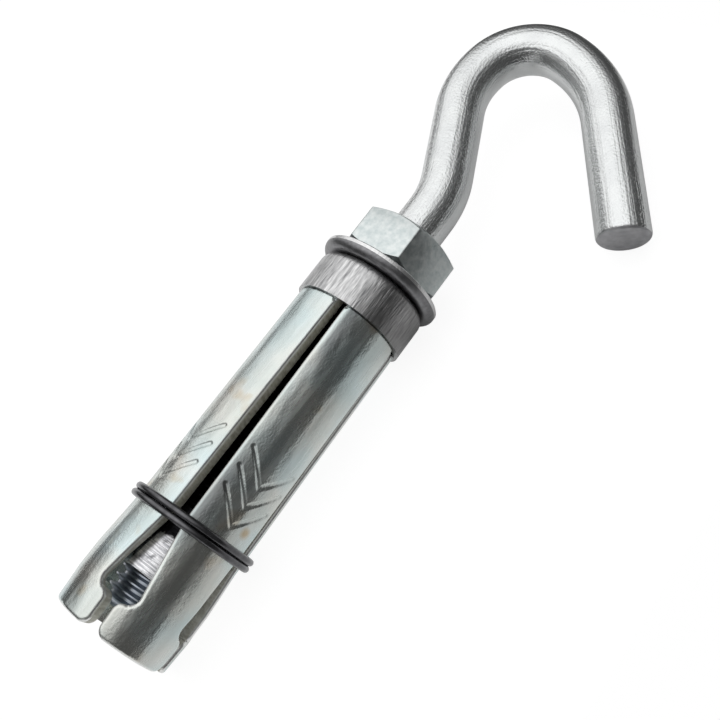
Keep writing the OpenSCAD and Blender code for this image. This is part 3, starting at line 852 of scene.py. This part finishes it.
# FLOOR AND LIGHT
# A white table in a room that is bright overhead and dim in front, with a window behind to one side and
# a white card beyond the shield's open end. For glossy rays the table glows as a painted reflection: bright
# on its far side and in a strip beside the shield, and dim near the piece as painted shade.
floor_z = cad_box[0].z
sheet_left = -0.18
sheet_right = 0.06
sheet_front = -0.048
sheet_back = 0.29
seen_share = 0.72
seen_white = 1.27
bpy.ops.object.select_all(action="DESELECT")
bpy.ops.mesh.primitive_plane_add(size=1, location=((sheet_left + sheet_right) / 2,
                                                   (sheet_front + sheet_back) / 2, floor_z))
bpy.context.active_object.scale = (sheet_right - sheet_left, sheet_back - sheet_front, 1)
table = start_piece("table")
bpy.ops.object.mode_set(mode="OBJECT")
white_table = bpy.data.materials.new("white_table")
white_table.use_nodes = True
tree = white_table.node_tree
top = tree.nodes["Principled BSDF"]
top.inputs["Base Color"].default_value = linear("#DADADA")
top.inputs["Roughness"].default_value = 0.9
top.inputs["Specular IOR Level"].default_value = 0.1
ray = add(white_table, "LightPath", {}).outputs
mirrored = add(white_table, "Math", {0: ray["Is Glossy Ray"], 1: ray["Is Transmission Ray"]},
               operation="MAXIMUM").outputs[0]
# painted reflection: glossy rays see the table glow, bright far off and in a strip beside the shield, dim
# near the piece as a painted shadow
spot = add(white_table, "TexCoord", {}).outputs["Object"]
off_front = add(white_table, "Mapping", {"Vector": spot, "Location": (-0.004, 0.035, 0),
                                         "Scale": (0.7, 1, 0)}).outputs["Vector"]
far = add(white_table, "VectorMath", {0: off_front}, operation="LENGTH").outputs["Value"]
painted_falloff = add(white_table, "MapRange", {"Value": far, "From Min": 0.035, "From Max": 0.085, "To Min": 0.06,
                                     "To Max": 0.6}).outputs["Result"]
table_at = add(white_table, "SeparateXYZ", {"Vector": spot}).outputs
close = add(white_table, "MapRange", {"Value": table_at["Y"], "From Min": -0.024, "From Max": -0.008,
                                      "To Max": 0.45}).outputs["Result"]
shield_end = add(white_table, "MapRange", {"Value": table_at["X"], "From Min": 0,
                                           "From Max": -0.008}).outputs["Result"]
strip = add(white_table, "Math", {0: close, 1: shield_end}, operation="MULTIPLY").outputs[0]
painted_lit = add(white_table, "Math", {0: painted_falloff, 1: strip}, operation="MAXIMUM").outputs[0]
painted_reflection = add(white_table, "Math", {0: mirrored, 1: painted_lit}, operation="MULTIPLY").outputs[0]
seen = add(white_table, "Math", {0: ray["Is Camera Ray"], 1: seen_share}, operation="MULTIPLY").outputs[0]
glow = add(white_table, "Math", {0: seen, 1: painted_reflection}, operation="MAXIMUM").outputs[0]
backdrop_and_painted_glow = add(white_table, "Emission", {"Color": linear("#FFFFFF"), "Strength": seen_white})
mixed = add(white_table, "MixShader", {0: glow, 1: top.outputs[0], 2: backdrop_and_painted_glow.outputs[0]})
tree.links.new(mixed.outputs[0], tree.nodes["Material Output"].inputs["Surface"])
give(table, white_table)

overhead = (0.1, 0.15, 0.98)
ceiling_bright = 1.15
ceiling_curve = 2.2
room_dim = 0.06
room = bpy.data.worlds.new("dim_room")
bpy.context.scene.world = room
room.use_nodes = True
towards = add(room, "TexCoord", {}).outputs["Generated"]
height = add(room, "VectorMath", {0: towards, 1: overhead}, operation="DOT_PRODUCT").outputs["Value"]
upwards = add(room, "MapRange", {"Value": height, "From Min": 0.3, "From Max": 0.88}).outputs["Result"]
curved = add(room, "Math", {0: upwards, 1: ceiling_curve}, operation="POWER").outputs[0]
grade = add(room, "Math", {0: curved, 1: ceiling_bright, 2: room_dim},
            operation="MULTIPLY_ADD").outputs[0]
ray = add(room, "LightPath", {}).outputs
hint = add(room, "Math", {0: ray["Is Glossy Ray"], 1: 0.02}, operation="MULTIPLY").outputs[0]
through = add(room, "Math", {0: ray["Is Camera Ray"], 1: ray["Is Transmission Ray"]},
              operation="MAXIMUM").outputs[0]
whitened = add(room, "Math", {0: through, 1: hint}, operation="MAXIMUM").outputs[0]
shade = add(room, "Mix", {0: whitened, 6: grade, 7: linear("#FFFFFF")}, data_type="RGBA").outputs[2]
room.node_tree.links.new(shade, room.node_tree.nodes["Background"].inputs["Color"])

for name, spot, wide, high, bright in (("side_window", (0.186, 0.51, 0.254), 0.44, 0.33, 0.6),
                                       ("end_card", (-0.56, -0.06, 0.1), 0.4, 0.24, 0.5)):
    lamp = bpy.data.lights.new(name, "AREA")
    lamp.shape = "RECTANGLE"
    lamp.size = wide
    lamp.size_y = high
    lamp.energy = bright * pi * wide * high
    panel = bpy.data.objects.new(name, lamp)
    bpy.context.collection.objects.link(panel)
    panel.location = spot
    panel.rotation_euler = panel.location.to_track_quat("Z", "Y").to_euler()

# CAMERA
# Above and in front of the shield's open end, turned so that the anchor runs up to the right. Its lens,
# place and roll were fitted to the photograph.
camera = bpy.data.objects.new("camera", bpy.data.cameras.new("camera"))
bpy.context.collection.objects.link(camera)
camera.data.sensor_width = 36
camera.data.lens = 48.976
eye = Vector((-37.74, -79.19, 91.16)) * MM
target = Vector((-8.309, -1.868, -4.083)) * MM
ahead = (target - eye).normalized()
level = ahead.cross(Vector((0, 0, 1))).normalized()
camera_roll = radians(-37.13)
right = cos(camera_roll) * level + sin(camera_roll) * level.cross(ahead)
upward = right.cross(ahead)
camera.matrix_world = Matrix.Translation(eye) @ Matrix((right, upward, -ahead)).transposed().to_4x4()
camera.data.clip_start = MM
bpy.context.scene.camera = camera
bpy.context.scene.view_settings.view_transform = "Standard"

bpy.context.view_layer.update()
